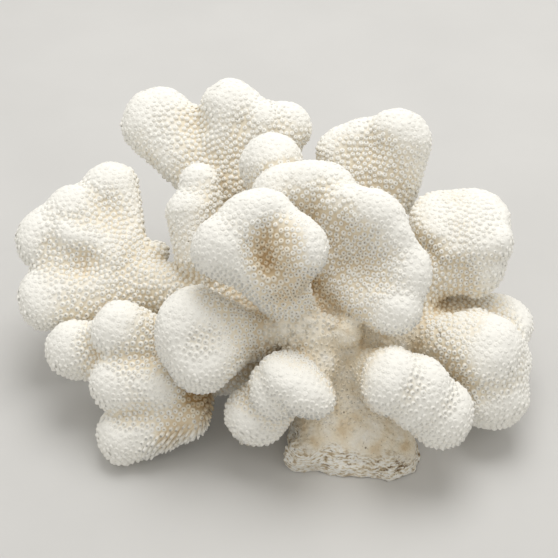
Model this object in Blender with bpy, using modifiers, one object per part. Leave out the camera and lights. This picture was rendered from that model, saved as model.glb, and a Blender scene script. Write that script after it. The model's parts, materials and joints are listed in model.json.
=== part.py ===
"""A cat's paw coral skeleton: a short trunk on a cut foot, and the branches that fork from it.

Each branch is a bundle of limbs, and a limb is a tapered, flattened finger with a blunt end.
Lengths in the tables are millimetres. The origin is the middle of the cut under the foot,
+Z is up, and the branches spread mostly behind the foot, towards +Y, and to its left, -X.
"""

from math import ceil

import bmesh
import bpy
from mathutils import Matrix, Vector, noise

MM = 0.001

# Surface of every solid
VOXEL = 0.9
SMOOTH_ROUNDS = 9
KEPT_SHARE = 0.034
LUMP_HEIGHT = 0.55
LUMP_WIDTH = 11.0

# Cuts between two solids that meet at a fork
FORK_GAP = 0.3
DISC_SIDES = 32
WELD = 0.05

# Blobs that a limb is made of: how far apart, how long for their width, and how round
BLOB_STEP = 0.45
BLOB_LENGTH = 0.85
BLOB_SUBDIVISIONS = 2


def limb(root, tip, root_size, tip_size, face=(0.0, -0.75, 0.65)):
    """A finger from root to tip, each size a half width and a half thickness.

    Face is the way that the finger's flat side looks.
    """
    return {
        "root": Vector(root),
        "tip": Vector(tip),
        "root_size": Vector(root_size),
        "tip_size": Vector(tip_size),
        "face": Vector(face).normalized(),
    }


def dent(at, width, depth, towards):
    """A hollow pressed into the surface round a point, depth along the direction towards."""
    return {"at": Vector(at), "width": width, "push": Vector(towards).normalized() * depth}


def fork(at, along, radii, power=2):
    """A cut across the neck of a branch, along which the saw's normal points.

    The cut is an oval, and squarer for a higher power.
    """
    return {"at": Vector(at), "along": Vector(along).normalized(), "radii": radii, "power": power}


UP = (0, 0, 1)
FRONT = (0, -1, 0)
SLOPING = (0, -0.5, 0.87)

# Finish: the colours, how rough they are, and the angle past which an edge is shaded sharp
WHITE = (0.86, 0.84, 0.76, 1)
CREAM = (0.70, 0.64, 0.50, 1)
TAN = (0.56, 0.48, 0.34, 1)
COLOURS = {
    "trunk_and_foot": TAN,
    "front_knobs": WHITE,
    "front_right_knob": WHITE,
    "back_left_fan": WHITE,
    "far_left_fan": WHITE,
    "rear_left_knob": TAN,
    "rear_right_knob": TAN,
}
CHALKY = 0.85
CUT_EDGE_ANGLE = 0.8

BRANCHES = {
    "trunk_and_foot": [
        limb((0, -7, -3), (-1, 6, 17), (19, 13), (12.5, 9), FRONT),
        limb((8, -12, -3), (4, 2, 12), (14, 9), (10, 8), FRONT),
        limb((-10, -12, 1), (-14, -14, 3.5), (7, 5), (5.5, 4.5), FRONT),
        limb((-1, 6, 17), (-9, 20, 30), (12.5, 9.5), (13, 10), FRONT),
        limb((-8, 11, 28), (-11, 4, 33), (6, 6), (5, 5)),
        limb((-1, 13, 30), (-1, 5, 34), (6, 6), (4.5, 4.5)),
        limb((-4, 12, 20), (20, 18, 23), (11, 9), (10, 8), UP),
        limb((4, 18, 24), (19, 25, 30), (9, 8), (8, 7.5), UP),
        limb((-8, 18, 28), (-44, 27, 28), (11, 9), (7.5, 6.5), UP),
        limb((-36, 28, 30), (-43.5, 32.5, 39), (7, 7), (7, 7)),
        limb((-6, 14, 16), (-34, 12, 12.5), (8.5, 8.5), (7.5, 7.5), UP),
        limb((-10, 22, 26), (-17, 42, 28), (12, 9), (10, 9), UP),
        limb((-8, 26, 26), (-1, 41, 27), (10, 9), (8.5, 8), UP),
    ],
    "far_left_fan": [
        limb((-42, 27, 28), (-62, 31.5, 28), (7.5, 6.5), (8, 6.5)),
        limb((-68.5, 36, 32), (-72, 58, 45), (9.5, 5.5), (9, 6.5), SLOPING),
        limb((-66, 35, 31), (-82.5, 49, 42), (10, 5), (10, 6), SLOPING),
        limb((-64, 34, 30), (-90.5, 42.5, 37.5), (12, 5.5), (10.5, 6.5), SLOPING),
        limb((-64, 31, 28), (-89.5, 26.5, 27), (10, 6), (10, 6.5), SLOPING),
        limb((-68, 36, 35), (-84, 40.5, 40), (5, 4), (5, 4.5), SLOPING),
        limb((-62, 37, 31), (-56, 41.5, 32.5), (5, 5), (3.5, 3.5)),
    ],
    "left_lower_knobs": [
        limb((-34, 12, 12.5), (-48, 10, 15), (7.5, 7.5), (9, 8)),
        limb((-48, 10, 16), (-80, 9.5, 23), (8, 7), (8.5, 7)),
        limb((-49, 10, 18), (-66, 8.5, 32), (8, 7), (8.5, 7.5)),
        limb((-49, 8, 17), (-54, -2, 20), (8, 7), (7.5, 6.5)),
        limb((-54, -2, 20), (-67, -2, 21), (7.5, 6.5), (8, 6.8)),
        limb((-45, 8, 12), (-47, -5, 12), (7, 6.5), (6.5, 6)),
        limb((-46.5, -6, 12), (-65, -9.5, 6.7), (6.5, 5.5), (8.5, 7.5)),
    ],
    "front_left_knob": [
        limb((-18, 12, 27), (-36, 4, 34), (7, 6.5), (8, 7)),
        limb((-35, 4, 35), (-44, 1, 39), (9, 8), (12.5, 9.5)),
        limb((-34, 3, 34), (-42, -3, 35), (8.5, 7), (12, 9.5)),
    ],
    "front_knobs": [
        limb((-8, 4, 25), (-15, -5, 25), (7, 7), (7, 7)),
        limb((-14, -4, 26), (-15, -11.5, 30.5), (8, 6), (12, 6.5)),
        limb((-15, -4, 25), (-21.5, -11, 28), (8, 6), (8, 6)),
        limb((-16, -4, 24), (-27, -10, 16), (7, 6), (9, 8)),
    ],
    "crown_knob": [
        limb((-14, 11, 32), (-22, 8.5, 53), (6.5, 6.5), (8.5, 7)),
        limb((-22, 9, 55), (-35.5, 9, 63), (9, 8), (8.8, 8)),
        limb((-22, 9, 55), (-26, 13, 66), (11, 8), (12, 8)),
        limb((-21, 9, 55), (-16.5, 8, 64), (10, 8), (10, 9)),
    ],
    "left_crown_column": [
        limb((-43.5, 32.5, 39), (-45.5, 41, 48.5), (7.2, 7), (8, 7.5)),
        limb((-42, 39, 43), (-43.5, 48, 55), (7, 7), (6, 5.5)),
    ],
    "back_left_fan": [
        limb((-17, 44, 27), (-38, 62, 45), (9, 7), (12, 7), SLOPING),
        limb((-38, 61, 43), (-58.5, 78, 56), (10, 7), (12, 7.5), SLOPING),
        limb((-36, 62, 44), (-48, 73, 53), (11, 6), (11, 6), SLOPING),
        limb((-36, 61, 43), (-34.5, 76, 62), (10, 7), (10, 7.5), SLOPING),
        limb((-36, 61, 43), (-26, 72, 59.5), (9, 6), (7.5, 6.5), SLOPING),
        limb((-34, 59, 43), (-17, 73.5, 57), (10, 7), (8, 7), SLOPING),
    ],
    "crown_fan": [
        limb((-8, 24, 30), (-4, 22, 44), (9, 8), (12, 6.5)),
        limb((-13, 31, 32), (-22.5, 48, 62), (6.5, 6.5), (9.5, 7.5)),
        limb((-9, 28, 38), (-19, 33, 62), (9, 6.5), (9.5, 7)),
        limb((-9, 28, 38), (-13.5, 33, 63), (9, 6), (10, 7)),
        limb((-8, 28, 38), (-8, 34, 62), (9, 6), (10, 7)),
        limb((-4, 24, 42), (0, 26, 60), (11, 6), (10, 6)),
        limb((-4, 23, 44), (7, 21, 62), (11, 6), (9.5, 6)),
        limb((-2, 20, 44), (9, 17, 57), (12, 5), (11, 5)),
        limb((-2, 19, 43), (14, 11, 51), (11, 5.5), (10, 6)),
        limb((0, 17, 43), (11.5, 4, 44.5), (8, 6), (8.5, 6)),
    ],
    "back_right_fan": [
        limb((-1, 42, 28), (11, 56, 44), (8, 7), (11, 7), SLOPING),
        limb((11, 56, 44), (16.5, 63, 60), (11, 7), (10, 7.5), SLOPING),
        limb((9, 56, 44), (7, 65.5, 56.5), (10, 7), (9, 6.5), SLOPING),
        limb((7, 56, 44), (-0.5, 65.5, 53.5), (9, 7), (8.5, 6.5), SLOPING),
    ],
    "right_paw": [
        limb((18, 25, 31), (34, 35, 41.5), (6.5, 6.5), (11, 7.5)),
        limb((22, 29, 36), (36.5, 29, 39.5), (6.5, 6), (11, 6.5)),
        limb((29, 40, 46), (37, 39.5, 46.5), (12.5, 6), (13.5, 6), UP),
        limb((30, 31, 43), (43, 31, 45.5), (7, 6), (6, 5.5), UP),
    ],
    "right_lower_knobs": [
        limb((20, 20, 21), (46, 22, 21.7), (13.5, 6.3), (11.5, 5.5), UP),
        limb((20, 14, 21), (39, 4, 26), (8, 7), (12, 10)),
        limb((38, 6, 26), (41, -2, 15), (12, 9), (11, 9)),
        limb((36, 12, 24), (45, 8, 18), (10, 7), (9, 8)),
    ],
    "front_right_knob": [
        limb((6, 4, 23), (9, -5, 27), (7, 7), (8, 7)),
        limb((8, -5, 27), (10, -11, 31.5), (8, 6), (10, 7.5)),
        limb((10, -6, 27), (18, -13, 28.5), (8, 6), (10.5, 8)),
        limb((12, -7, 26), (25, -15, 22), (7, 6), (9.5, 8.5)),
    ],
    "rear_left_knob": [
        limb((-12, 34, 16), (-25, 66, 8.5), (9, 8), (11.5, 10), UP),
    ],
    "rear_right_knob": [
        limb((-2, 24, 17), (15, 58, 8.5), (8, 8), (11, 10), UP),
    ],
}

DENTS = [
    dent((-20, 4.5, 65.5), 12.5, 6, (0.05, 0.8, -0.6)),
    dent((-41, -8, 43), 10, 1.8, (0, 0.75, -0.65)),
    dent((-69.5, 47, 44), 11, 2.2, (0, 0.5, -0.87)),
    dent((-78, 31.5, 37), 9, 2.4, (0, 0.5, -0.87)),
    dent((-87, 35, 40), 8, 1.8, (0.2, 0.5, -0.87)),
    dent((2, 12, 55), 14, 1.0, (0, 0.75, -0.65)),
    dent((35, 25, 38), 10, 2.4, (0, 0.8, -0.2)),
    dent((7, 56, 62), 9, 2.0, (0, 0.5, -0.87)),
    dent((-46, 68, 62), 9, 2.0, (0, 0.5, -0.87)),
]

FORKS = [
    fork((-52.5, 29.5, 28.5), (-1, -0.1, 0), (12, 12)),
    fork((-36, 11.5, 12.5), (-1, 0, 0), (12.5, 12)),
    fork((-29, 7, 31.5), (-0.85, -0.4, 0.35), (12, 12)),
    fork((-13, -2, 25), (-0.5, -0.86, 0), (13, 12)),
    fork((-10.5, 23, 40.5), (0.2, 0, 1), (23, 18.5), 4),
    fork((-13, 14.5, 52), (-0.5, -0.8, 0.3), (12, 12)),
    fork((-44.2, 35, 42), (-0.1, 0.65, 0.75), (11, 11)),
    fork((-27, 53, 35.5), (-0.65, 0.6, 0.5), (14, 14)),
    fork((4, 48, 35), (0.5, 0.65, 0.6), (13, 13)),
    fork((23, 28.5, 36), (0.6, 0.4, 0.6), (13, 13)),
    fork((27, 17, 22), (1, -0.1, 0), (19, 12)),
    fork((8, -1.5, 25.5), (0.3, -0.9, 0.3), (12, 12)),
    fork((-18, 49, 12.5), (-0.35, 0.9, -0.2), (13, 13)),
    fork((7, 43, 12.5), (0.5, 0.85, -0.2), (13, 13)),
]


def blob_frame(direction, face):
    """Axes of a limb: along it, across it, and through its flat side."""
    along = direction.normalized()
    through = (face - along * face.dot(along)).normalized()
    across = through.cross(along)
    return Matrix((along, across, through)).transposed()


def add_limb(bm, shape):
    """A row of overlapping ellipsoids from root to tip."""
    span = shape["tip"] - shape["root"]
    thinnest = min(*shape["root_size"], *shape["tip_size"])
    steps = max(2, ceil(span.length / (BLOB_STEP * thinnest)))
    turn = blob_frame(span, shape["face"]).to_4x4()
    for i in range(steps + 1):
        share = i / steps
        centre = shape["root"].lerp(shape["tip"], share)
        across, through = shape["root_size"].lerp(shape["tip_size"], share)
        size = Matrix.Diagonal((BLOB_LENGTH * across, across, through, 1 / MM))
        place = Matrix.Translation(centre * MM) @ turn @ (size * MM)
        bmesh.ops.create_icosphere(bm, subdivisions=BLOB_SUBDIVISIONS, radius=1.0, matrix=place)


def evaluated_mesh(thing):
    """The object's mesh with its modifiers applied, which are then removed."""
    graph = bpy.context.evaluated_depsgraph_get()
    mesh = bpy.data.meshes.new_from_object(thing.evaluated_get(graph))
    thing.modifiers.clear()
    return mesh


def apply_modifiers(thing):
    old = thing.data
    thing.data = evaluated_mesh(thing)
    bpy.data.meshes.remove(old)


def fuse(thing):
    """Joins the overlapping blobs in one skin and rounds the creases between them."""
    remesh = thing.modifiers.new("fuse", "REMESH")
    remesh.mode = "VOXEL"
    remesh.voxel_size = VOXEL * MM
    smooth = thing.modifiers.new("round creases", "SMOOTH")
    smooth.factor = 0.5
    smooth.iterations = SMOOTH_ROUNDS
    apply_modifiers(thing)


def ease(share):
    """A smooth step from 0 to 1."""
    share = max(0.0, min(1.0, share))
    return share * share * (3 - 2 * share)


def shape_surface(thing, dents):
    """Gives the skin its shallow natural lumps, and presses the hollows in."""
    mesh = thing.data
    normals = [vertex.normal.copy() for vertex in mesh.vertices]
    for vertex, normal in zip(mesh.vertices, normals):
        lump = noise.noise(vertex.co / (LUMP_WIDTH * MM))
        vertex.co += normal * lump * LUMP_HEIGHT * MM
        for hollow in dents:
            near = 1 - (vertex.co / MM - hollow["at"]).length / hollow["width"]
            vertex.co += hollow["push"] * ease(near) * MM


def thin_out(thing):
    """Keeps only as many facets as the form needs."""
    decimate = thing.modifiers.new("facets", "DECIMATE")
    decimate.ratio = KEPT_SHARE
    decimate.use_collapse_triangulate = True
    apply_modifiers(thing)


def cut_flat(thing):
    """Saws off whatever reaches below the surface that the coral stands on."""
    bm = bmesh.new()
    bm.from_mesh(thing.data)
    everything = bm.verts[:] + bm.edges[:] + bm.faces[:]
    cut = bmesh.ops.bisect_plane(
        bm, geom=everything, plane_co=(0, 0, 0), plane_no=(0, 0, 1), clear_inner=True
    )
    rim = [item for item in cut["geom_cut"] if isinstance(item, bmesh.types.BMEdge)]
    if rim:
        sole = bmesh.ops.triangle_fill(bm, edges=rim, use_beauty=True)
        faces = [item for item in sole["geom"] if isinstance(item, bmesh.types.BMFace)]
        bmesh.ops.recalc_face_normals(bm, faces=bm.faces)
        inner = [edge for edge in bm.edges if len([f for f in edge.link_faces if f in faces]) == 2]
        bmesh.ops.dissolve_edges(bm, edges=inner, use_verts=False)
    bm.to_mesh(thing.data)
    bm.free()


def saw_disc(cut, helpers):
    """A thin disc across the neck of a branch, as thick as the gap that it leaves."""
    mesh = bpy.data.meshes.new("saw disc")
    bm = bmesh.new()
    turn = cut["along"].to_track_quat("Z", "Y").to_matrix().to_4x4()
    size = Matrix.Diagonal((*cut["radii"], FORK_GAP, 1 / MM)) * MM
    place = Matrix.Translation(cut["at"] * MM) @ turn @ size
    bmesh.ops.create_cone(bm, segments=DISC_SIDES, cap_ends=True, radius1=1, radius2=1, depth=1)
    power = cut["power"]
    for vertex in bm.verts:
        reach = (abs(vertex.co.x) ** power + abs(vertex.co.y) ** power) ** (-1 / power)
        vertex.co.x *= reach
        vertex.co.y *= reach
    bmesh.ops.transform(bm, matrix=place, verts=bm.verts)
    bm.to_mesh(mesh)
    bm.free()
    disc = bpy.data.objects.new("saw disc", mesh)
    helpers.objects.link(disc)
    disc.hide_render = True
    disc.display_type = "WIRE"
    return disc


def saw_forks(coral, helpers):
    """Cuts the coral through at every fork."""
    for cut in FORKS:
        disc = saw_disc(cut, helpers)
        bpy.context.view_layer.update()
        modifier = coral.modifiers.new("fork", "BOOLEAN")
        modifier.operation = "DIFFERENCE"
        modifier.object = disc
        apply_modifiers(coral)


def loose_bodies(bm):
    """The vertices of each separate body, largest body first."""
    unseen = set(bm.verts)
    bodies = []
    while unseen:
        edge_of_search = [unseen.pop()]
        body = set(edge_of_search)
        while edge_of_search:
            vertex = edge_of_search.pop()
            for edge in vertex.link_edges:
                other = edge.other_vert(vertex)
                if other in unseen:
                    unseen.discard(other)
                    body.add(other)
                    edge_of_search.append(other)
        bodies.append(body)
    return sorted(bodies, key=len, reverse=True)


def body_mesh(source, name, keep):
    """A mesh of one body of the source, which is left as it is."""
    bm = source.copy()
    bm.verts.ensure_lookup_table()
    others = [vertex for vertex in bm.verts if vertex.index not in keep]
    bmesh.ops.delete(bm, geom=others, context="VERTS")
    mesh = bpy.data.meshes.new(name)
    bm.to_mesh(mesh)
    bm.free()
    return mesh


def name_branches(coral, collection):
    """Makes a solid of every sawn body, and names it after the branch whose last tip lies in it."""
    bm = bmesh.new()
    bm.from_mesh(coral.data)
    bmesh.ops.remove_doubles(bm, verts=bm.verts, dist=WELD * MM)
    bmesh.ops.triangulate(bm, faces=bm.faces)
    bm.verts.index_update()
    bodies = [{v.index: v.co.copy() for v in body} for body in loose_bodies(bm)]
    branches = []
    for name, limbs in BRANCHES.items():
        tip = limbs[-1]["tip"] * MM
        nearest = min(bodies, key=lambda body: min((co - tip).length for co in body.values()))
        branch = bpy.data.objects.new(name, body_mesh(bm, name, nearest))
        collection.objects.link(branch)
        bodies.remove(nearest)
        branches.append(branch)
    bm.free()
    return branches


def bleached_coral(name):
    """Chalky dry coral, whiter on the knobs that stand out and tan further in."""
    colour = COLOURS.get(name, CREAM)
    material = bpy.data.materials.new(f"coral of {name}")
    material.use_nodes = True
    shader = material.node_tree.nodes["Principled BSDF"]
    shader.inputs["Base Color"].default_value = colour
    shader.inputs["Roughness"].default_value = CHALKY
    shader.inputs["Metallic"].default_value = 0.0
    material.diffuse_color = colour
    return material


def grow_coral(helpers):
    """The whole coral as one skin, cut flat under the foot."""
    mesh = bpy.data.meshes.new("coral")
    bm = bmesh.new()
    for limbs in BRANCHES.values():
        for shape in limbs:
            add_limb(bm, shape)
    bm.to_mesh(mesh)
    bm.free()
    coral = bpy.data.objects.new("coral", mesh)
    helpers.objects.link(coral)
    fuse(coral)
    shape_surface(coral, DENTS)
    thin_out(coral)
    cut_flat(coral)
    return coral


def main():
    for thing in list(bpy.data.objects):
        bpy.data.objects.remove(thing)
    parts = bpy.data.collections.new("cats paw coral")
    helpers = bpy.data.collections.new("cutters")
    for collection in (parts, helpers):
        bpy.context.scene.collection.children.link(collection)
    coral = grow_coral(helpers)
    saw_forks(coral, helpers)
    branches = name_branches(coral, parts)
    bpy.data.objects.remove(coral)
    for branch in branches:
        branch.data.materials.clear()
        branch.data.materials.append(bleached_coral(branch.name))
        branch.data.shade_smooth()
        branch.data.set_sharp_from_angle(angle=CUT_EDGE_ANGLE)


main()
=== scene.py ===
"""Dresses a bleached cat's paw coral skeleton and stands it on a pale table.

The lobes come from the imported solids. They are grown together at the forks, and each branch is
then covered with cups, the small ringed pits that the animals of the coral lived in.
"""

import json
from math import cos, pi, radians, sin, sqrt

import bmesh
import bpy
import numpy as np
from bpy.props import FloatProperty, FloatVectorProperty, IntProperty, PointerProperty
from mathutils import Matrix, Vector, noise
from mathutils.bvhtree import BVHTree

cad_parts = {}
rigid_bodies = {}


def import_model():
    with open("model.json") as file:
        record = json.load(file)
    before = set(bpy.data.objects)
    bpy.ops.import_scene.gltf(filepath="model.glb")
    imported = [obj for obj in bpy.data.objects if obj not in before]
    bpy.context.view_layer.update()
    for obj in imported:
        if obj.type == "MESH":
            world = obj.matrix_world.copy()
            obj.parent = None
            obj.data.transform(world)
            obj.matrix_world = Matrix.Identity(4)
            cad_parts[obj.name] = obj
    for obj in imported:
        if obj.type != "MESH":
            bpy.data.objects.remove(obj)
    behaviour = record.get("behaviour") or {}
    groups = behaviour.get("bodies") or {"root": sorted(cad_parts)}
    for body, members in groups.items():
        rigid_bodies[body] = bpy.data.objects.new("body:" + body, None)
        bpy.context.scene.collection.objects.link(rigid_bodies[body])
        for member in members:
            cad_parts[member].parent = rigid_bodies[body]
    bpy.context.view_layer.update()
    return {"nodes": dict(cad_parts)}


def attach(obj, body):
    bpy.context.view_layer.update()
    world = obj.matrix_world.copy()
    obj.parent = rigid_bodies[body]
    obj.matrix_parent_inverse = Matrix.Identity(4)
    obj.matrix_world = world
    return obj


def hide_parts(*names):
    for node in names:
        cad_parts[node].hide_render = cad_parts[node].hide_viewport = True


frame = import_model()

bl_info = {
    "name": "Cat's paw coral skeleton",
    "version": (1, 0, 0),
    "blender": (4, 5, 0),
    "location": "View3D > Sidebar > Coral",
    "description": "Grows the skin and the cups of a cat's paw coral skeleton over its solids",
    "category": "Object",
}

MM = 0.001

BODY = "root"
TRUNK = "trunk_and_foot"
LEFT_BRANCHES = ("far_left_fan", "left_lower_knobs", "front_left_knob", "left_crown_column")
FRONT_KNOBS = ("front_knobs", "front_right_knob")
CROWN = ("crown_knob", "crown_fan")
BACK_FANS = ("back_left_fan", "back_right_fan")
RIGHT_PAWS = ("right_paw", "right_lower_knobs")
REAR_KNOBS = ("rear_left_knob", "rear_right_knob")
BRANCH_NUMBER = {name: number for number, name in enumerate(sorted(frame["nodes"]))}

# Skin
MERGE = 0.01 * MM
GROWTH = 0.25 * MM
SKIN_ROUNDS = 7
LUMP_WIDTH = 7.0 * MM
LUMP_HEIGHT = 0.35 * MM
WART_WIDTH = 2.6 * MM
WART_HEIGHT = 0.10 * MM
CRUST_HEIGHT = 1.3 * MM
LAYER_WIDTH = Vector((6.0, 6.0, 1.6)) * MM
LAYER_HEIGHT = 0.8 * MM
TORN_ROUGHNESS = 0.4
WART_SHIFT = Vector((40, 0, 0))
EDGE_SHIFT = Vector((0, 7, 0))

# Openness: how much of the room in front of a place is free
OPEN_RAYS = 20
OPEN_REACH = 45 * MM
OPEN_START = 0.6 * MM
OPEN_BLUR = 4

# Bulge: how far a place stands out from the skin with its lobes blurred away
BULGE_BLUR = 130

# The trunk: its middle, and the foot with its broken edge
HEART = Vector((-8, 22, 24)) * MM
WORN_LOW = Vector((2, -14, 2)) * MM
WORN_HIGH = Vector((4, 3, 20)) * MM
WORN_REACH = (17 * MM, 24 * MM)
BROKEN_HEIGHT = (5.5 * MM, 8.0 * MM)
BROKEN_SLOPE = -0.15
BROKEN_WAVE = 3.0 * MM

# Nodules where a thin crust grew on the trunk, between the crown and the front knobs
NODULES = (
    ((-18.2, 3.6, 36.6), 2.4),
    ((-17.0, 3.6, 34.0), 2.6),
    ((-19.4, 4.0, 32.4), 2.4),
    ((-17.0, 3.8, 30.8), 2.2),
    ((-21.0, 4.8, 34.4), 2.0),
    ((-14.6, 3.4, 36.2), 2.0),
    ((-12.0, 4.6, 38.0), 2.2),
    ((-9.2, 6.4, 36.8), 2.1),
    ((-6.6, 7.4, 36.0), 2.0),
)
CRUST_REACH = (2.6 * MM, 4.6 * MM)

# Where long spines stand in place of cups, under the lowest left lobe
SPINES_LOW = Vector((-52, -14, 8)) * MM
SPINES_HIGH = Vector((-41, -4, 15)) * MM
SPINES_REACH = (4.5 * MM, 8.5 * MM)

# Tan patches, each along a line, and how far it reaches to both sides: the first, down the hollow front
# of the crown knob, and the second, under the lowest left lobe, are painted shade; the third, low on the
# foot, is a real brown stain
STAINS_AND_PAINTED_SHADE = (
    ((-20, 4, 66), (-17, 1, 55), 2.0, 13.0),
    ((-50, -12, 10), (-41, -4, 15), 3.0, 8.0),
    ((12, -18, 0), (24, -14, 3), 3.0, 9.0),
)

# Cup: radius and height of its rings, from its hidden skirt to its rim, and the depth of its pit
CUP_SIDES = 8
CUP_PROFILE = ((0.98, -0.36), (0.76, 0.30), (0.46, 0.50), (0.0, -0.06))
CUP_TILT = 0.14
CUP_SIZES = (0.82, 1.12)

# Where the skin is free of the floor, and where no cups stand low on the foot
OFF_FLOOR = (0.6 * MM, 2.2 * MM)
FOOT_WITHOUT_CUPS = (8 * MM, 15 * MM)
FOOT_THINNING = 1.2
CROWD_FREE = (0.03, 0.12)

# A tip is a place that bulges out, in millimetres, is free and faces up
TIP_BULGE = (0.3, 1.5)
TIP_FREE = (0.45, 0.75)
TIP_FACING = (-0.1, 0.6)

# An underside is a place that faces down, and spines stand on places that don't face up
UNDER_FACING = (0.10, 0.60)
UNDER_ON_TIP = 0.7
SPINES_FACING = (0.60, 0.20)
UNDER_SPINES = 0.3
CRUST_SPINES = 0.15

# Width and height of the cups, and what each kind of place adds to them
CUP_WIDTH = {"plain": 0.96, "tip": -0.12, "spiny": -0.28, "spines": -0.06, "bare": -0.30, "crust": -0.10}
CUP_HEIGHT = {"plain": 1.05, "tip": -0.80, "spiny": 2.4, "spines": 1.4, "bare": -0.40, "crust": -0.30}

# How lit and clean, and so how white, a place is painted: on its own; more where it is open and bulges
# out, which paints shade into the hollows and forks over their real tan; and less under the tan patches
LIT_AND_CLEAN_BASE = 0.19
PAINTED_LIGHT_BY_OPENNESS = 0.53
PAINTED_LIGHT_BY_BULGE = 0.14
PAINTED_LIGHT_BULGE_RANGE = (-1.5, 2.0)
DARKENING_BY_PATCHES = -0.46

# Widths of the patterns in the finish
CLOUD_WIDTH = 9 * MM
FLECK_WIDTH = 1.4 * MM
RUB_WIDTH = 5 * MM
STAIN_WIDTH = 8 * MM
LAYERS_WIDTH = 1.5 * MM
FIBRE_WIDTH = 1.5 * MM
CHALK_WIDTH = 0.40 * MM
GRAIN_WIDTH = 1.3 * MM
LAYERS_SQUASH = 2.6
FIBRE_SQUASH = 3.4

CLOUD_SHARE = 0.30
FLECK_SHARE = 0.20

# Where each colour is pure as a place gets more lit and clean, on the ground and on the rims; the whiter
# tints of the rims are painted light on the raised rims and painted shade on the ground between them
GROUND_STOPS = (0.05, 0.26, 0.60, 0.82)
RIM_STOPS = (0.05, 0.24, 0.50, 1.0)

# Pits, darkened as painted shade in their hollows: where the painted shade begins, how it fades on lit
# and clean, crusted and spiny places, and its shade of tan
PIT_EDGE = (0.38, 0.75)
PIT_SHADE_FADE = (0.95, 0.40)
PIT_LEAST = 0.08
PIT_CRUST = (0.8, 0.2)
PIT_SPINY = (0.40, 0.15)
PIT_SHADE = 0.62
CRUST_SHARE = 0.7

# Worn trunk: its colours, and the spacing and width of its pores, which are painted dark rust as painted
# shade in the holes
RUBBED_STOPS = (0.30, 0.46, 0.70)
RUBBED_SHARE = 0.85
FINE_PORES = (1.1 * MM, 0.22 * MM)
FINE_PORE_DEPTH = 0.45
PINHOLES = (5.5 * MM, 0.42 * MM)
PINHOLE_DEPTH = 0.9
PORE_SHADE = 0.35

# Broken layers of the foot: the colours of the fibres, paler where they rise and darker in their grooves
# as painted shade, and where the dark lines are, painted shade in the grooves of the layers, darker
# still under the real brown stain
FIBRE_SHADE_STOPS = (0.36, 0.45, 0.55)
GROOVE_SHADE_CLOUD = 0.22
GROOVE_SHADE_LEVEL = 0.7
GROOVE_SHADE_BY_PALENESS = 0.28
GROOVE_SHADE_EDGE = (0.38, 0.26)
GROOVE_SHADE_TONE = 0.40

# Surface and bump
CORAL_ROUGHNESS = 0.88
CORAL_GLOSS = 0.25
BUMP_STRENGTH = 0.6
BUMP_DISTANCE = 0.16 * MM
GRAIN_BUMP = 8.0
GRAIN_OFF_TRUNK = 0.2
LAYERS_BUMP = 10.0
FIBRE_BUMP = 5.0

# Stage
TABLE_HALF_WIDTH = 2.0
TABLE_TONE_WIDTH = 60 * MM
TABLE_STOPS = (0.35, 0.65)
TABLE_ROUGHNESS = 0.7
STAGE_MIDDLE = (-0.02, 0.025, 0.03)
SOFTBOX_PLACE = (0.05, 0.26, 0.76)
SOFTBOX_SIZE = 0.55
SKY_COLOUR = (1.0, 0.99, 0.96, 1)
CAMERA_TARGET = Vector((-20, 25, 36)) * MM
SENSOR_WIDTH = 36
CLIP_START = 0.01


class CoralSkin(bpy.types.PropertyGroup):
    grain: FloatProperty(
        name="Skin grain",
        description="Size of the facets of the skin",
        default=0.9 * MM,
        unit="LENGTH",
    )
    cup_distance: FloatProperty(
        name="Cup distance",
        description="Least distance from one cup to the next",
        default=1.43 * MM,
        unit="LENGTH",
    )
    cup_crowd: FloatProperty(
        name="Cup crowd",
        description="Places tried for a cup on each square metre",
        default=4.0e6,
    )
    cup_lean: FloatProperty(
        name="Cup lean",
        description="How far the cups of a flank lean towards the tip of their branch",
        default=0.6,
        subtype="FACTOR",
    )
    seed: IntProperty(
        name="Seed",
        description="Which random pattern of cups is used",
        default=7,
    )


class CoralColours(bpy.types.PropertyGroup):
    white: FloatVectorProperty(
        name="White",
        description="Bleached tips of the lobes",
        default=(0.93, 0.91, 0.85),
        subtype="COLOR",
    )
    cream: FloatVectorProperty(
        name="Cream",
        description="Open flanks between the cups",
        default=(0.86, 0.78, 0.63),
        subtype="COLOR",
    )
    # Tan is also painted shade in the hollows, forks and pits, over the real tan of the forks
    tan: FloatVectorProperty(
        name="Tan",
        description="Hollows and forks",
        default=(0.70, 0.56, 0.37),
        subtype="COLOR",
    )
    # Rust is painted shade deep in the forks, in the pores and in the grooves of the broken foot, with
    # the real stains
    rust_and_deep_shade: FloatVectorProperty(
        name="Rust",
        description="Stains deep in the forks",
        default=(0.50, 0.33, 0.16),
        subtype="COLOR",
    )


class StageLook(bpy.types.PropertyGroup):
    table_colour: FloatVectorProperty(
        name="Table colour",
        description="Colour of the plain table",
        default=(0.62, 0.61, 0.59),
        subtype="COLOR",
    )
    camera_distance: FloatProperty(
        name="Camera distance",
        description="How far the camera is from the coral",
        default=0.340,
        unit="LENGTH",
    )
    camera_elevation: FloatProperty(
        name="Camera elevation",
        description="Angle at which the camera looks down",
        default=radians(42),
        subtype="ANGLE",
    )
    lens: FloatProperty(
        name="Lens",
        description="Focal length on a 36 mm wide sensor",
        default=75.29,
    )
    softbox_power: FloatProperty(
        name="Softbox power",
        description="Power of the large light overhead",
        default=3.45,
        subtype="POWER",
    )
    fill: FloatProperty(
        name="Fill",
        description="Strength of the light from all round",
        default=0.67,
    )


def step(low, high, value):
    """A smooth step from 0 at low to 1 at high, for a number or an array."""
    share = np.clip((value - low) / (high - low), 0.0, 1.0)
    return share * share * (3 - 2 * share)


def evaluated_mesh(thing):
    """The mesh that the object's modifiers make."""
    graph = bpy.context.evaluated_depsgraph_get()
    return bpy.data.meshes.new_from_object(thing.evaluated_get(graph))


def apply_modifiers(thing):
    old = thing.data
    thing.data = evaluated_mesh(thing)
    thing.modifiers.clear()
    bpy.data.meshes.remove(old)


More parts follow.
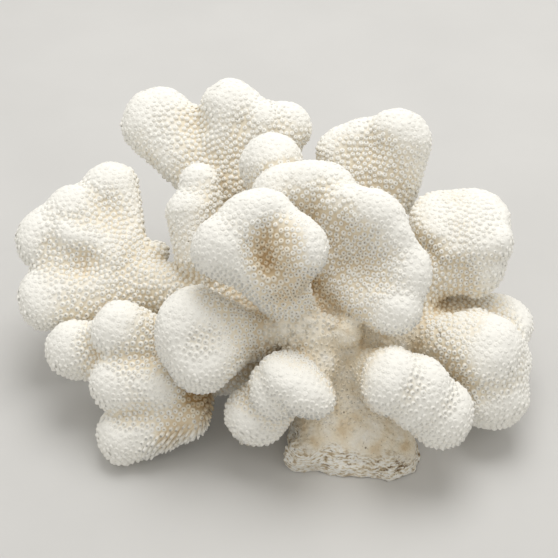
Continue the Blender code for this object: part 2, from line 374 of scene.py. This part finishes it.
def new_object(name, bm):
    mesh = bpy.data.meshes.new(name)
    bm.to_mesh(mesh)
    bm.free()
    thing = bpy.data.objects.new(name, mesh)
    bpy.context.scene.collection.objects.link(thing)
    return thing


def grown_solids():
    """The solids and the nodules in one mesh, each solid grown a little, to meet across its saw gaps."""
    whole = bmesh.new()
    for name in BRANCH_NUMBER:
        bm = bmesh.new()
        bm.from_mesh(frame["nodes"][name].data)
        bmesh.ops.remove_doubles(bm, verts=bm.verts, dist=MERGE)
        bm.normal_update()
        for vertex in bm.verts:
            vertex.co += vertex.normal * GROWTH
        part = bpy.data.meshes.new("grown solid")
        bm.to_mesh(part)
        bm.free()
        whole.from_mesh(part)
        bpy.data.meshes.remove(part)
    for place, radius in NODULES:
        there = Matrix.Translation(Vector(place) * MM)
        bmesh.ops.create_icosphere(whole, subdivisions=2, radius=radius * MM, matrix=there)
    return whole


def cut_sole(bm):
    """Cuts the skin flat again where the coral stands."""
    everything = bm.verts[:] + bm.edges[:] + bm.faces[:]
    bmesh.ops.bisect_plane(
        bm, geom=everything, plane_co=(0, 0, 0), plane_no=(0, 0, 1), clear_inner=True
    )
    rim = [edge for edge in bm.edges if edge.is_boundary]
    bmesh.ops.holes_fill(bm, edges=rim, sides=0)


def broken(place):
    """1 on the broken edge round the foot and 0 above it."""
    near = (place.xy - WORN_LOW.xy).length < 2 * WORN_REACH[0]
    edge = BROKEN_HEIGHT[0] + BROKEN_SLOPE * place.x
    edge += BROKEN_WAVE * noise.noise(place / LUMP_WIDTH + EDGE_SHIFT)
    return float(near) * (1 - step(edge, edge + BROKEN_HEIGHT[1] - BROKEN_HEIGHT[0], place.z))


def crusted(place):
    """1 on the nodules and 0 away from them."""
    return 1 - step(*CRUST_REACH, min((place - Vector(middle) * MM).length for middle, _ in NODULES))


def natural_lumps(bm):
    """Raises soft lumps, small warts, the crust, and the layers in the broken edge of the foot."""
    bm.normal_update()
    for vertex in bm.verts:
        place = vertex.co
        torn = broken(place)
        layered = Vector(part / width for part, width in zip(place, LAYER_WIDTH))
        lump = noise.noise(place / LUMP_WIDTH) * LUMP_HEIGHT
        rough = WART_HEIGHT + CRUST_HEIGHT * max(crusted(place), TORN_ROUGHNESS * torn)
        wart = noise.noise(place / WART_WIDTH + WART_SHIFT) * rough
        layer = noise.noise(layered) * LAYER_HEIGHT * torn
        vertex.co += vertex.normal * (lump + wart + layer)


def grow_skin(look):
    """One closed skin over the whole coral."""
    skin = new_object("skin", grown_solids())
    remesh = skin.modifiers.new("grow together", "REMESH")
    remesh.mode = "VOXEL"
    remesh.voxel_size = look.grain
    smooth = skin.modifiers.new("round", "SMOOTH")
    smooth.factor = 0.5
    smooth.iterations = SKIN_ROUNDS
    apply_modifiers(skin)
    bm = bmesh.new()
    bm.from_mesh(skin.data)
    natural_lumps(bm)
    cut_sole(bm)
    bm.to_mesh(skin.data)
    bm.free()
    return skin


def vertex_array(mesh, field):
    values = np.empty(3 * len(mesh.vertices), dtype=np.float32)
    mesh.vertices.foreach_get(field, values)
    return values.reshape(-1, 3)


def blurred(mesh, values, rounds):
    """The values at the vertices, each mixed with those of its neighbours."""
    ends = np.empty(2 * len(mesh.edges), dtype=np.int32)
    mesh.edges.foreach_get("vertices", ends)
    first, second = ends.reshape(-1, 2).T
    count = len(mesh.vertices)
    number = np.bincount(first, minlength=count) + np.bincount(second, minlength=count)
    for _ in range(rounds):
        total = np.bincount(first, values[second], count) + np.bincount(second, values[first], count)
        values = 0.5 * values + 0.5 * total / np.maximum(number, 1)
    return values


def sky_rays(count):
    """Directions spread over a half ball round +Z, more of them near +Z."""
    golden = pi * (3 - sqrt(5))
    rays = []
    for i in range(count):
        height = sqrt(1 - (i + 0.5) / count)
        side = sqrt(1 - height * height)
        rays.append(Vector((side * cos(golden * i), side * sin(golden * i), height)))
    return rays


def bulge(mesh, places, normals):
    """How far each vertex stands out from the blurred skin, in millimetres, or below 0 in hollows."""
    soft = np.stack([blurred(mesh, column, BULGE_BLUR) for column in places.T], axis=1)
    return np.sum((places - soft) * normals, axis=1) / MM


def openness(mesh):
    """At each vertex, the share of rays that leave the surface and meet nothing near."""
    bm = bmesh.new()
    bm.from_mesh(mesh)
    tree = BVHTree.FromBMesh(bm)
    rays = sky_rays(OPEN_RAYS)
    free = np.zeros(len(mesh.vertices))
    for vertex in bm.verts:
        turn = vertex.normal.to_track_quat("Z", "Y").to_matrix()
        start = vertex.co + vertex.normal * OPEN_START
        misses = sum(tree.ray_cast(start, turn @ ray, OPEN_REACH)[0] is None for ray in rays)
        free[vertex.index] = misses / len(rays)
    bm.free()
    return blurred(mesh, free, OPEN_BLUR)


def near_line(places, low, high, reach):
    """1 up to the first reach from the line between two places, and 0 beyond the second."""
    low = np.array(low)
    line = np.array(high) - low
    along = np.clip((places - low) @ line / (line @ line), 0, 1)
    away = np.linalg.norm(places - low - along[:, None] * line, axis=1)
    return 1 - step(*reach, away)


def painted_shade_and_stains(places):
    """1 in the middle of the tan patches, painted shade and real stain, and 0 away from them."""
    stain = np.zeros(len(places))
    for low, high, near, far in STAINS_AND_PAINTED_SHADE:
        stain = np.maximum(stain, near_line(places / MM, low, high, (near, far)))
    return stain


def write_attribute(mesh, name, values):
    """Keeps one number or one vector for each vertex."""
    is_vector = values.ndim == 2
    kind = "FLOAT_VECTOR" if is_vector else "FLOAT"
    layer = mesh.attributes.new(name, kind, "POINT")
    field = "vector" if is_vector else "value"
    layer.data.foreach_set(field, values.astype(np.float32).ravel())


def mark_branches(mesh):
    """Gives each face the number of the solid that is nearest to it."""
    whole = bmesh.new()
    owner = []
    for name, number in BRANCH_NUMBER.items():
        whole.from_mesh(frame["nodes"][name].data)
        owner += [number] * (len(whole.faces) - len(owner))
    tree = BVHTree.FromBMesh(whole)
    whole.free()
    numbers = [owner[tree.find_nearest(face.center)[2]] for face in mesh.polygons]
    layer = mesh.attributes.new("branch", "INT", "FACE")
    layer.data.foreach_set("value", numbers)


def prepare_skin(look):
    """The skin with all that the cups and the finish need to know at each place."""
    skin = grow_skin(look)
    mesh = skin.data
    mark_branches(mesh)
    places = vertex_array(mesh, "co")
    normals = np.array([vertex.normal for vertex in mesh.vertices])
    free = openness(mesh)
    out = bulge(mesh, places, normals)
    bare = near_line(places, WORN_LOW, WORN_HIGH, WORN_REACH)
    torn = np.array([broken(vertex.co) for vertex in mesh.vertices])
    crust = np.array([crusted(vertex.co) for vertex in mesh.vertices])
    off_floor = step(*OFF_FLOOR, places[:, 2])
    bare *= 1 - crust
    facing = normals[:, 2]
    tip = step(*TIP_BULGE, out) * step(*TIP_FREE, free) * step(*TIP_FACING, facing)
    under = step(*UNDER_FACING, -facing) * (1 - UNDER_ON_TIP * tip) * off_floor
    tip *= 1 - under
    spines = near_line(places, SPINES_LOW, SPINES_HIGH, SPINES_REACH) * step(*SPINES_FACING, facing)
    spiny = np.maximum(UNDER_SPINES * under * (1 - bare), CRUST_SPINES * crust)
    spiny = np.maximum(spiny, spines * off_floor)
    outward = places - np.array(HEART)
    outward -= normals * np.sum(outward * normals, axis=1)[:, None]
    outward /= np.maximum(np.linalg.norm(outward, axis=1), 1e-9)[:, None]
    lean = normals + outward * (look.cup_lean * (1 - tip + spiny))[:, None]
    kinds = {"plain": 1, "tip": tip, "spiny": spiny, "spines": spines, "bare": bare, "crust": crust}
    wide = sum(CUP_WIDTH[kind] * share for kind, share in kinds.items())
    tall = sum(CUP_HEIGHT[kind] * share for kind, share in kinds.items())
    low_foot = bare * (1 - step(*FOOT_WITHOUT_CUPS, places[:, 2]))
    crowd = np.clip(step(*CROWD_FREE, free) - FOOT_THINNING * low_foot, 0, 1) * off_floor
    # Painted shade: the colour darkens towards tan where the skin is closed in and sinks in, over the
    # real tan of the hollows and forks
    lit_and_clean = LIT_AND_CLEAN_BASE + PAINTED_LIGHT_BY_OPENNESS * free + PAINTED_LIGHT_BY_BULGE * np.clip(out, *PAINTED_LIGHT_BULGE_RANGE)
    # The tan patches: painted shade on the crown knob's hollow front and under the lowest left lobe, and
    # a real stain low on the foot
    lit_and_clean += DARKENING_BY_PATCHES * painted_shade_and_stains(places)
    write_attribute(mesh, "lit_and_clean", lit_and_clean)
    write_attribute(mesh, "spiny", spiny)
    write_attribute(mesh, "bare", bare)
    write_attribute(mesh, "torn", torn)
    write_attribute(mesh, "crust", crust)
    write_attribute(mesh, "crowd", crowd)
    write_attribute(mesh, "lean", lean)
    write_attribute(mesh, "cup_size", np.stack([wide, wide, tall], axis=1))
    return skin


def cup_shape():
    """One cup: a flared skirt, a round rim and a pit like a funnel."""
    bm = bmesh.new()
    profile = [bm.verts.new((radius * MM, 0, height * MM)) for radius, height in CUP_PROFILE]
    edges = [bm.edges.new(pair) for pair in zip(profile, profile[1:])]
    bmesh.ops.spin(
        bm,
        geom=profile + edges,
        cent=(0, 0, 0),
        axis=(0, 0, 1),
        angle=2 * pi,
        steps=CUP_SIDES,
        use_merge=True,
        use_duplicate=False,
    )
    bmesh.ops.remove_doubles(bm, verts=bm.verts, dist=MERGE)
    if sum(face.normal.z for face in bm.faces) < 0:
        bmesh.ops.reverse_faces(bm, faces=bm.faces)
    cup = new_object("cup", bm)
    places = vertex_array(cup.data, "co")
    radii = np.hypot(places[:, 0], places[:, 1])
    skirt = 0.5 * (CUP_PROFILE[0][0] + CUP_PROFILE[1][0]) * MM
    write_attribute(cup.data, "rim", (radii < skirt).astype(float))
    write_attribute(cup.data, "pit", (radii < MERGE).astype(float))
    cup.data.shade_smooth()
    return cup


def named_attribute(tree, name, kind):
    node = tree.nodes.new("GeometryNodeInputNamedAttribute")
    node.data_type = kind
    node.inputs["Name"].default_value = name
    return node.outputs["Attribute"]


def random_value(tree, kind, low, high, seed):
    node = tree.nodes.new("FunctionNodeRandomValue")
    node.data_type = kind
    sockets = [socket for socket in node.inputs if socket.enabled]
    sockets[0].default_value = low
    sockets[1].default_value = high
    node.inputs["Seed"].default_value = seed
    return next(socket for socket in node.outputs if socket.enabled)


def cup_scatter(look):
    """A node group that stands cups on a branch, from one even scatter over the whole skin."""
    tree = bpy.data.node_groups.new("cups on a branch", "GeometryNodeTree")
    sockets = {}
    for name, kind in (
        ("Branch mesh", "NodeSocketGeometry"),
        ("Skin", "NodeSocketObject"),
        ("Cup", "NodeSocketObject"),
        ("Branch number", "NodeSocketInt"),
    ):
        socket = tree.interface.new_socket(name, in_out="INPUT", socket_type=kind)
        sockets[name] = socket.identifier
    tree.interface.new_socket("Mesh", in_out="OUTPUT", socket_type="NodeSocketGeometry")
    nodes = tree.nodes
    link = tree.links.new
    given = nodes.new("NodeGroupInput").outputs

    skin = nodes.new("GeometryNodeObjectInfo")
    link(given["Skin"], skin.inputs["Object"])
    points = nodes.new("GeometryNodeDistributePointsOnFaces")
    points.distribute_method = "POISSON"
    points.inputs["Distance Min"].default_value = look.cup_distance
    points.inputs["Density Max"].default_value = look.cup_crowd
    points.inputs["Seed"].default_value = look.seed
    link(skin.outputs["Geometry"], points.inputs["Mesh"])
    link(named_attribute(tree, "crowd", "FLOAT"), points.inputs["Density Factor"])

    mine = nodes.new("FunctionNodeCompare")
    mine.data_type = "INT"
    mine.operation = "EQUAL"
    pair = [socket for socket in mine.inputs if socket.enabled]
    link(named_attribute(tree, "branch", "INT"), pair[0])
    link(given["Branch number"], pair[1])

    upright = nodes.new("FunctionNodeAlignRotationToVector")
    upright.axis = "Z"
    link(named_attribute(tree, "lean", "FLOAT_VECTOR"), upright.inputs["Vector"])
    spin = nodes.new("FunctionNodeEulerToRotation")
    tilts = (-CUP_TILT, -CUP_TILT, 0), (CUP_TILT, CUP_TILT, 2 * pi)
    link(random_value(tree, "FLOAT_VECTOR", *tilts, 1), spin.inputs[0])
    turn = nodes.new("FunctionNodeRotateRotation")
    turn.rotation_space = "LOCAL"
    link(upright.outputs["Rotation"], turn.inputs["Rotation"])
    link(spin.outputs[0], turn.inputs["Rotate By"])

    size = nodes.new("ShaderNodeVectorMath")
    size.operation = "MULTIPLY"
    link(named_attribute(tree, "cup_size", "FLOAT_VECTOR"), size.inputs[0])
    link(random_value(tree, "FLOAT", *CUP_SIZES, 2), size.inputs[1])

    cup = nodes.new("GeometryNodeObjectInfo")
    link(given["Cup"], cup.inputs["Object"])
    stand = nodes.new("GeometryNodeInstanceOnPoints")
    link(points.outputs["Points"], stand.inputs["Points"])
    link(mine.outputs["Result"], stand.inputs["Selection"])
    link(cup.outputs["Geometry"], stand.inputs["Instance"])
    link(turn.outputs["Rotation"], stand.inputs["Rotation"])
    link(size.outputs["Vector"], stand.inputs["Scale"])
    real = nodes.new("GeometryNodeRealizeInstances")
    link(stand.outputs["Instances"], real.inputs["Geometry"])
    join = nodes.new("GeometryNodeJoinGeometry")
    link(real.outputs["Geometry"], join.inputs["Geometry"])
    link(given["Branch mesh"], join.inputs["Geometry"])
    link(join.outputs["Geometry"], nodes.new("NodeGroupOutput").inputs["Mesh"])
    return tree, sockets


def branch_skin(skin, name):
    """The part of the skin that belongs to one branch, closed across its fork."""
    bm = bmesh.new()
    bm.from_mesh(skin.data)
    layer = bm.faces.layers.int["branch"]
    others = [face for face in bm.faces if face[layer] != BRANCH_NUMBER[name]]
    bmesh.ops.delete(bm, geom=others, context="FACES")
    rim = [edge for edge in bm.edges if edge.is_boundary]
    caps = bmesh.ops.holes_fill(bm, edges=rim, sides=0)["faces"]
    bmesh.ops.triangulate(bm, faces=caps)
    for edge in rim:
        edge.smooth = False
    return new_object(f"coral_{name}", bm)


def attribute(tree, name):
    node = tree.nodes.new("ShaderNodeAttribute")
    node.attribute_name = name
    return node.outputs["Fac"]


def noise_on(tree, place, width, detail=2.0):
    """Cloudy noise whose clouds are about as wide as given."""
    node = tree.nodes.new("ShaderNodeTexNoise")
    node.inputs["Scale"].default_value = 1 / width
    node.inputs["Detail"].default_value = detail
    tree.links.new(place, node.inputs["Vector"])
    return node.outputs["Fac"]


def maths(tree, operation, first, second):
    node = tree.nodes.new("ShaderNodeMath")
    node.operation = operation
    for socket, value in zip(node.inputs, (first, second)):
        if isinstance(value, (int, float)):
            socket.default_value = value
        else:
            tree.links.new(value, socket)
    return node.outputs["Value"]


def plus(tree, first, second):
    return maths(tree, "ADD", first, second)


def minus(tree, first, second):
    return maths(tree, "SUBTRACT", first, second)


def times(tree, first, second):
    return maths(tree, "MULTIPLY", first, second)


def swinging(tree, place, width, detail):
    """Cloudy noise that swings to both sides of 0."""
    return minus(tree, noise_on(tree, place, width, detail), 0.5)


def ramp(tree, share, positions, tints):
    """A colour that goes through the tints as the share goes through the positions."""
    node = tree.nodes.new("ShaderNodeValToRGB")
    ends = node.color_ramp.elements
    while len(ends) < len(tints):
        ends.new(0.5)
    for end, position, tint in zip(ends, positions, tints):
        end.position = position
        end.color = (*tint, 1)
    tree.links.new(share, node.inputs["Fac"])
    return node.outputs["Color"]


def mixed(tree, share, first, second):
    node = tree.nodes.new("ShaderNodeMix")
    node.data_type = "RGBA"
    node.clamp_factor = True
    sockets = [socket for socket in node.inputs if socket.enabled]
    for socket, value in zip(sockets, (share, first, second)):
        if isinstance(value, (int, float, tuple)):
            socket.default_value = value
        else:
            tree.links.new(value, socket)
    return next(socket for socket in node.outputs if socket.enabled)


def darker(colour, share):
    return tuple(part * share for part in colour)


def ranged(tree, value, low, high):
    """The value's share of the way from low to high, kept between 0 and 1."""
    node = tree.nodes.new("ShaderNodeMapRange")
    node.inputs["From Min"].default_value = low
    node.inputs["From Max"].default_value = high
    tree.links.new(value, node.inputs["Value"])
    return node.outputs["Result"]


def pores(tree, place, size):
    """1 in the middle of small scattered pores and 0 between them."""
    spacing, width = size
    node = tree.nodes.new("ShaderNodeTexVoronoi")
    node.inputs["Scale"].default_value = 1 / spacing
    tree.links.new(place, node.inputs["Vector"])
    return ranged(tree, node.outputs["Distance"], width / spacing, 0.4 * width / spacing)


def flattened(tree, place, squash):
    """The place with its height stretched, so that a texture on it comes out in level layers."""
    node = tree.nodes.new("ShaderNodeVectorMath")
    node.operation = "MULTIPLY"
    node.inputs[1].default_value = (1, 1, squash)
    tree.links.new(place, node.inputs[0])
    return node.outputs["Vector"]


def cupped_colour(tree, lit_and_clean, crust, tints):
    """Ground from white to tan, darker in the hollows as painted shade, with whiter rims as painted
    light, darker pits as painted shade, and pale where the crust is.
    """
    white, cream, tan, rust_and_deep_shade = tints
    ground = ramp(tree, lit_and_clean, GROUND_STOPS, (rust_and_deep_shade, tan, cream, white))
    rims = ramp(tree, lit_and_clean, RIM_STOPS, (tan, cream, white, white))
    # Painted light and shade: the raised rims get whiter tints than the ground between the cups
    coloured = mixed(tree, attribute(tree, "rim"), ground, rims)
    # Painted shade: the pits are darkened towards tan
    pit_shade_share = plus(tree, ranged(tree, lit_and_clean, *PIT_SHADE_FADE), PIT_LEAST)
    pit_shade_share = times(tree, pit_shade_share, ranged(tree, crust, *PIT_CRUST))
    hole = times(tree, ranged(tree, attribute(tree, "pit"), *PIT_EDGE), pit_shade_share)
    pit_shade = times(tree, hole, ranged(tree, attribute(tree, "spiny"), *PIT_SPINY))
    coloured = mixed(tree, pit_shade, coloured, (*darker(tan, PIT_SHADE), 1))
    pale = tuple(0.5 * (part + other) for part, other in zip(white, cream))
    return mixed(tree, times(tree, crust, CRUST_SHARE), coloured, (*pale, 1))


def rubbed_colour(tree, place, tints):
    """The cloudy colour of the worn trunk."""
    white, cream, tan, _ = tints
    return ramp(tree, noise_on(tree, place, RUB_WIDTH, 4.0), RUBBED_STOPS, (tan, cream, white))


def torn_colour(tree, place, lit_and_clean, layers, fibres, tints):
    """The broken layers round the foot: fibres painted paler where they rise and darker in their
    grooves, and dark lines in the grooves of the layers as painted shade; more of them where a place is
    less lit and clean, as in the hollows and under the real brown stain low on the foot.
    """
    white, cream, tan, rust_and_deep_shade = tints
    # Painted shade: dark rust where the layers, which also raise the bump, sink
    lit = plus(tree, layers, times(tree, swinging(tree, place, STAIN_WIDTH, 2.0), GROOVE_SHADE_CLOUD))
    lit = plus(tree, lit, times(tree, minus(tree, lit_and_clean, GROOVE_SHADE_LEVEL), GROOVE_SHADE_BY_PALENESS))
    # Painted shade: the fibres are paler where they rise in the bump and darker in their grooves
    shades = (darker(tan, 0.70), darker(cream, 0.92), white)
    edge = ramp(tree, fibres, FIBRE_SHADE_STOPS, shades)
    return mixed(tree, ranged(tree, lit, *GROOVE_SHADE_EDGE), edge, (*darker(rust_and_deep_shade, GROOVE_SHADE_TONE), 1))


def surface_relief(tree, place, masks, layers, fibres):
    """Chalky grain everywhere, granules and pores on the trunk, and layers round the foot."""
    bare, torn, pricked = masks
    chalk = noise_on(tree, place, CHALK_WIDTH, 3.0)
    grain = times(tree, noise_on(tree, place, GRAIN_WIDTH, 2.0), GRAIN_BUMP)
    height = plus(tree, chalk, times(tree, grain, plus(tree, bare, GRAIN_OFF_TRUNK)))
    height = minus(tree, height, pricked)
    relief = plus(tree, times(tree, layers, LAYERS_BUMP), times(tree, fibres, FIBRE_BUMP))
    height = plus(tree, height, times(tree, relief, torn))
    bump = tree.nodes.new("ShaderNodeBump")
    bump.inputs["Strength"].default_value = BUMP_STRENGTH
    bump.inputs["Distance"].default_value = BUMP_DISTANCE
    tree.links.new(height, bump.inputs["Height"])
    return bump.outputs["Normal"]


def coral_finish(colours):
    """Dry chalky skeleton: white where it is open and stands out, tan further in as painted shade over
    the real tan of the forks, and painted shade in its pits and pores.
    """
    material = bpy.data.materials.new("bleached coral")
    material.use_nodes = True
    tree = material.node_tree
    shader = tree.nodes["Principled BSDF"]
    place = tree.nodes.new("ShaderNodeTexCoord").outputs["Object"]
    tints = [tuple(tint) for tint in (colours.white, colours.cream, colours.tan, colours.rust_and_deep_shade)]
    rust_and_deep_shade = tints[-1]
    bare = attribute(tree, "bare")
    torn = attribute(tree, "torn")
    cloud = times(tree, swinging(tree, place, CLOUD_WIDTH, 3.0), CLOUD_SHARE)
    fleck = times(tree, swinging(tree, place, FLECK_WIDTH, 2.0), FLECK_SHARE)
    # This paleness carries the painted shade of the hollows, with clouds and flecks of real tone
    lit_and_clean = plus(tree, plus(tree, attribute(tree, "lit_and_clean"), cloud), fleck)
    coloured = cupped_colour(tree, lit_and_clean, attribute(tree, "crust"), tints)

    rubbed = rubbed_colour(tree, place, tints)
    coloured = mixed(tree, times(tree, bare, RUBBED_SHARE), coloured, rubbed)
    # Painted shade: the pores are darkened towards rust
    fine = times(tree, pores(tree, place, FINE_PORES), FINE_PORE_DEPTH)
    holes = times(tree, pores(tree, place, PINHOLES), PINHOLE_DEPTH)
    pricked = times(tree, maths(tree, "MAXIMUM", fine, holes), bare)
    coloured = mixed(tree, pricked, coloured, (*darker(rust_and_deep_shade, PORE_SHADE), 1))

    layers = noise_on(tree, flattened(tree, place, LAYERS_SQUASH), LAYERS_WIDTH, 8.0)
    fibres = noise_on(tree, flattened(tree, place, FIBRE_SQUASH), FIBRE_WIDTH, 4.0)
    coloured = mixed(tree, torn, coloured, torn_colour(tree, place, lit_and_clean, layers, fibres, tints))
    tree.links.new(coloured, shader.inputs["Base Color"])
    shader.inputs["Roughness"].default_value = CORAL_ROUGHNESS
    shader.inputs["Specular IOR Level"].default_value = CORAL_GLOSS
    normal = surface_relief(tree, place, (bare, torn, pricked), layers, fibres)
    tree.links.new(normal, shader.inputs["Normal"])
    return material


def helper(name, make):
    """The thing that the dressing of every branch shares, made once."""
    return bpy.data.objects.get(name) or make()


def scatter_modifier(piece, skin, cup, number, look):
    tree, sockets = cup_scatter(look)
    modifier = piece.modifiers.new("cups", "NODES")
    modifier.node_group = tree
    modifier[sockets["Skin"]] = skin
    modifier[sockets["Cup"]] = cup
    modifier[sockets["Branch number"]] = number


def dress(names):
    """Puts the skin and the cups on each of the branches, in place of its plain solid."""
    scene = bpy.context.scene
    look = scene.coral_skin
    skin = helper("skin", lambda: prepare_skin(look))
    cup = helper("cup", cup_shape)
    material = bpy.data.materials.get("bleached coral") or coral_finish(scene.coral_colours)
    for name in names:
        piece = branch_skin(skin, name)
        scatter_modifier(piece, skin, cup, BRANCH_NUMBER[name], look)
        apply_modifiers(piece)
        mesh = piece.data
        for layer in ("lean", "cup_size", "crowd", "branch"):
            mesh.attributes.remove(mesh.attributes[layer])
        mesh.materials.clear()
        mesh.materials.append(material)
        mesh.shade_smooth()
        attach(piece, BODY)
        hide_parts(name)


def put_helpers_away():
    for name in ("skin", "cup"):
        bpy.data.objects.remove(bpy.data.objects[name])


class CORAL_OT_trunk(bpy.types.Operator):
    """The trunk that every branch grows from, on its worn foot"""

    bl_idname = "coral.trunk"
    bl_label = "Trunk and foot"

    def execute(self, context):
        dress((TRUNK,))
        return {"FINISHED"}


class CORAL_OT_left_branches(bpy.types.Operator):
    """The far left paw, the low rolls in front of it, the broad knob and the slim column"""

    bl_idname = "coral.left_branches"
    bl_label = "Left branches"

    def execute(self, context):
        dress(LEFT_BRANCHES)
        return {"FINISHED"}


class CORAL_OT_front_knobs(bpy.types.Operator):
    """The white knobs in front of the trunk"""

    bl_idname = "coral.front_knobs"
    bl_label = "Front knobs"

    def execute(self, context):
        dress(FRONT_KNOBS)
        return {"FINISHED"}


class CORAL_OT_crown(bpy.types.Operator):
    """The tall knob with a hollow front, and the long fan across the top"""

    bl_idname = "coral.crown"
    bl_label = "Crown"

    def execute(self, context):
        dress(CROWN)
        return {"FINISHED"}


class CORAL_OT_back_fans(bpy.types.Operator):
    """The two fans that stand at the back"""

    bl_idname = "coral.back_fans"
    bl_label = "Back fans"

    def execute(self, context):
        dress(BACK_FANS)
        return {"FINISHED"}


class CORAL_OT_right_paws(bpy.types.Operator):
    """The ridged paw at the right and the lobes under it"""

    bl_idname = "coral.right_paws"
    bl_label = "Right paws"

    def execute(self, context):
        dress(RIGHT_PAWS)
        return {"FINISHED"}


class CORAL_OT_rear_knobs(bpy.types.Operator):
    """The two low knobs behind, which the coral leans on"""

    bl_idname = "coral.rear_knobs"
    bl_label = "Rear knobs"

    def execute(self, context):
        dress(REAR_KNOBS)
        return {"FINISHED"}


def table_top(look):
    """A wide plain table with a very slight unevenness of tone."""
    bm = bmesh.new()
    bmesh.ops.create_grid(bm, x_segments=1, y_segments=1, size=TABLE_HALF_WIDTH)
    table = new_object("table", bm)
    material = bpy.data.materials.new("plain table")
    material.use_nodes = True
    tree = material.node_tree
    shader = tree.nodes["Principled BSDF"]
    place = tree.nodes.new("ShaderNodeTexCoord").outputs["Object"]
    tone = noise_on(tree, place, TABLE_TONE_WIDTH, 4.0)
    colour = tuple(look.table_colour)
    shade = ramp(tree, tone, TABLE_STOPS, (darker(colour, 0.96), colour))
    tree.links.new(shade, shader.inputs["Base Color"])
    shader.inputs["Roughness"].default_value = TABLE_ROUGHNESS
    table.data.materials.append(material)


def softbox(power):
    """The large round light overhead, turned towards the coral."""
    lamp = bpy.data.lights.new("softbox", "AREA")
    lamp.shape = "DISK"
    lamp.size = SOFTBOX_SIZE
    lamp.energy = power
    thing = bpy.data.objects.new("softbox", lamp)
    thing.location = SOFTBOX_PLACE
    ahead = Vector(STAGE_MIDDLE) - Vector(SOFTBOX_PLACE)
    thing.rotation_euler = ahead.to_track_quat("-Z", "Y").to_euler()
    bpy.context.scene.collection.objects.link(thing)


def set_camera(look):
    elevation = look.camera_elevation
    camera = bpy.data.cameras.new("camera")
    camera.sensor_width = SENSOR_WIDTH
    camera.lens = look.lens
    camera.clip_start = CLIP_START
    thing = bpy.data.objects.new("camera", camera)
    back = Vector((0, -cos(elevation), sin(elevation)))
    thing.location = CAMERA_TARGET + back * look.camera_distance
    thing.rotation_euler = (pi / 2 - elevation, 0, 0)
    bpy.context.scene.collection.objects.link(thing)
    bpy.context.scene.camera = thing


class CORAL_OT_stage(bpy.types.Operator):
    """The pale table, the soft studio light and the camera"""

    bl_idname = "coral.stage"
    bl_label = "Stage"

    def execute(self, context):
        look = context.scene.coral_stage
        table_top(look)
        softbox(look.softbox_power)
        world = bpy.data.worlds.new("studio")
        world.use_nodes = True
        sky = world.node_tree.nodes["Background"]
        sky.inputs["Color"].default_value = SKY_COLOUR
        sky.inputs["Strength"].default_value = look.fill
        context.scene.world = world
        context.scene.view_settings.view_transform = "Standard"
        set_camera(look)
        return {"FINISHED"}


PIECE_OPERATORS = (
    CORAL_OT_trunk,
    CORAL_OT_left_branches,
    CORAL_OT_front_knobs,
    CORAL_OT_crown,
    CORAL_OT_back_fans,
    CORAL_OT_right_paws,
    CORAL_OT_rear_knobs,
    CORAL_OT_stage,
)


class CORAL_PT_panel(bpy.types.Panel):
    """Lists the settings and the steps that dress the coral"""

    bl_idname = "CORAL_PT_panel"
    bl_label = "Cat's paw coral"
    bl_space_type = "VIEW_3D"
    bl_region_type = "UI"
    bl_category = "Coral"

    def draw(self, context):
        scene = context.scene
        for group in (scene.coral_skin, scene.coral_colours, scene.coral_stage):
            box = self.layout.box()
            for name in group.bl_rna.properties.keys():
                if name not in ("name", "rna_type"):
                    box.prop(group, name)
        for operator in PIECE_OPERATORS:
            self.layout.operator(operator.bl_idname)


SETTINGS = (
    ("coral_skin", CoralSkin),
    ("coral_colours", CoralColours),
    ("coral_stage", StageLook),
)


def register():
    for name, group in SETTINGS:
        bpy.utils.register_class(group)
        setattr(bpy.types.Scene, name, PointerProperty(type=group))
    for operator in PIECE_OPERATORS:
        bpy.utils.register_class(operator)
    bpy.utils.register_class(CORAL_PT_panel)


def unregister():
    bpy.utils.unregister_class(CORAL_PT_panel)
    for operator in reversed(PIECE_OPERATORS):
        bpy.utils.unregister_class(operator)
    for name, group in reversed(SETTINGS):
        delattr(bpy.types.Scene, name)
        bpy.utils.unregister_class(group)


def main():
    register()
    bpy.ops.coral.trunk()
    bpy.ops.coral.left_branches()
    bpy.ops.coral.front_knobs()
    bpy.ops.coral.crown()
    bpy.ops.coral.back_fans()
    bpy.ops.coral.right_paws()
    bpy.ops.coral.rear_knobs()
    bpy.ops.coral.stage()
    put_helpers_away()


if __name__ == "__main__":
    main()
